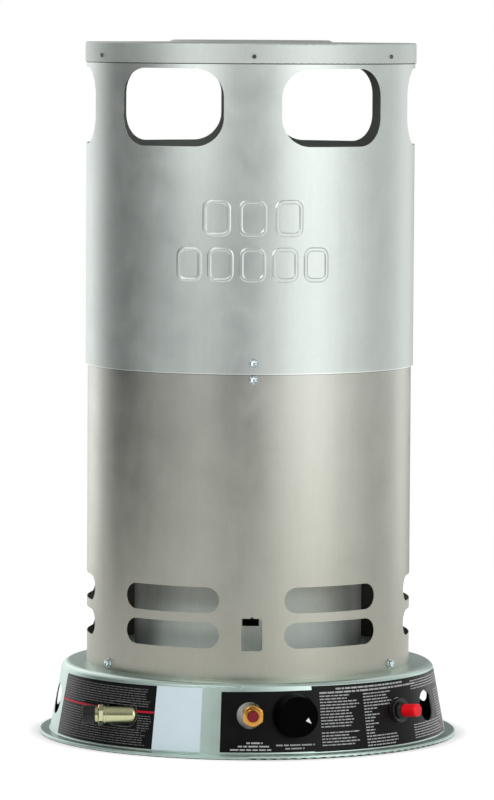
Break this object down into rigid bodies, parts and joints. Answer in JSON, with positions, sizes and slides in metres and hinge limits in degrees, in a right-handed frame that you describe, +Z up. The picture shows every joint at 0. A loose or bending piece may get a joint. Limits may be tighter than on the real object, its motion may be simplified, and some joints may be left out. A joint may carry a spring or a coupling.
{
  "type": "portable propane heater",
  "caption": "Floor-standing cylindrical gas heater: sheet-metal pan with controls, slotted two-part shell round an open combustion chamber, and a lid over large side openings.",
  "frame": {"origin": "on the floor, on the axis of the shell (bottom centre of the bounding box)", "axes": "+Z up; the gas controls face -Y; +X is to the right seen from the controls"},
  "size_m": [0.435, 0.4369, 0.7224],
  "materials": {
    "pan_steel": "satin zinc-coated sheet",
    "lower_shell_steel": "satin zinc-coated sheet",
    "upper_shell_steel": "satin zinc-coated sheet",
    "lid_steel": "satin zinc-coated sheet",
    "chamber_steel": "satin, heat-stained",
    "bracket_steel": "satin zinc plate",
    "zinc_screw": "bright zinc plate",
    "dark_screw": "dark plate",
    "cast_iron": "rough as cast",
    "brass": "machined",
    "inlet_brass": "machined, slightly dull",
    "valve_casting": "die cast",
    "stem_steel": "turned",
    "aluminium_tube": "drawn",
    "copper": "bare copper",
    "knob_black": "semi-gloss",
    "button_red": "gloss",
    "black_plastic": "satin",
    "igniter_chrome": "satin",
    "white_ceramic": "glazed",
    "black_rubber": "matt"
  },
  "bodies": {
    "heater": {"base_pan": "pan_steel", "base_screws": "zinc_screw", "burner_bolts": "zinc_screw", "burner_head": "cast_iron", "cap_screws": "dark_screw", "chamber_feet": "bracket_steel", "chamber_screws": "zinc_screw", "chamber_stays": "bracket_steel", "combustion_chamber": "chamber_steel", "electrode_insulator": "white_ceramic", "flame_spreader": "chamber_steel", "gas_jet": "brass", "gas_line": "aluminium_tube", "grommets": "black_rubber", "igniter_body": "black_plastic", "igniter_nut": "igniter_chrome", "inlet_adapter": "inlet_brass", "inlet_tube": "aluminium_tube", "jet_bracket": "bracket_steel", "jet_holder": "brass", "lead_nut": "brass", "line_nuts": "brass", "lock_nut": "bracket_steel", "lower_shell": "lower_shell_steel", "mixer_tube": "cast_iron", "pan_screws": "zinc_screw", "pilot_bracket": "bracket_steel", "safety_bonnet": "brass", "seam_screws": "zinc_screw", "spark_rod": "stem_steel", "spark_wire": "black_rubber", "thermocouple": "stem_steel", "thermocouple_lead": "copper", "top_cap": "lid_steel", "upper_shell": "upper_shell_steel", "valve_body": "valve_casting", "valve_bracket": "bracket_steel"},
    "knob": {"control_knob": "knob_black", "valve_stem": "stem_steel"},
    "safety_plunger": {"safety_button": "button_red"},
    "igniter_plunger": {"igniter_button": "button_red"},
    "inlet_cap": {"dust_cap": "black_plastic"}
  },
  "joints": [
    {"name": "knob_turn", "type": "hinge", "parent": "heater", "child": "knob", "pos_m": [0.04809, -0.19877, 0.0435], "axis": [0.2351, -0.972, 0], "range_deg": [0, 240]},
    {"name": "safety_press", "type": "slide", "parent": "heater", "child": "safety_plunger", "axis": [0, 1, 0], "range_m": [0, 0.003], "stiffness_N_per_m": 1500, "springref_m": -0.001},
    {"name": "igniter_press", "type": "slide", "parent": "heater", "child": "igniter_plunger", "axis": [-0.7687, 0.6337, -0.0872], "range_m": [0, 0.007], "stiffness_N_per_m": 1500, "springref_m": -0.002},
    {"name": "cap_pull", "type": "slide", "parent": "heater", "child": "inlet_cap", "axis": [-1, 0, 0], "range_m": [0, 0.014]}
  ]
}
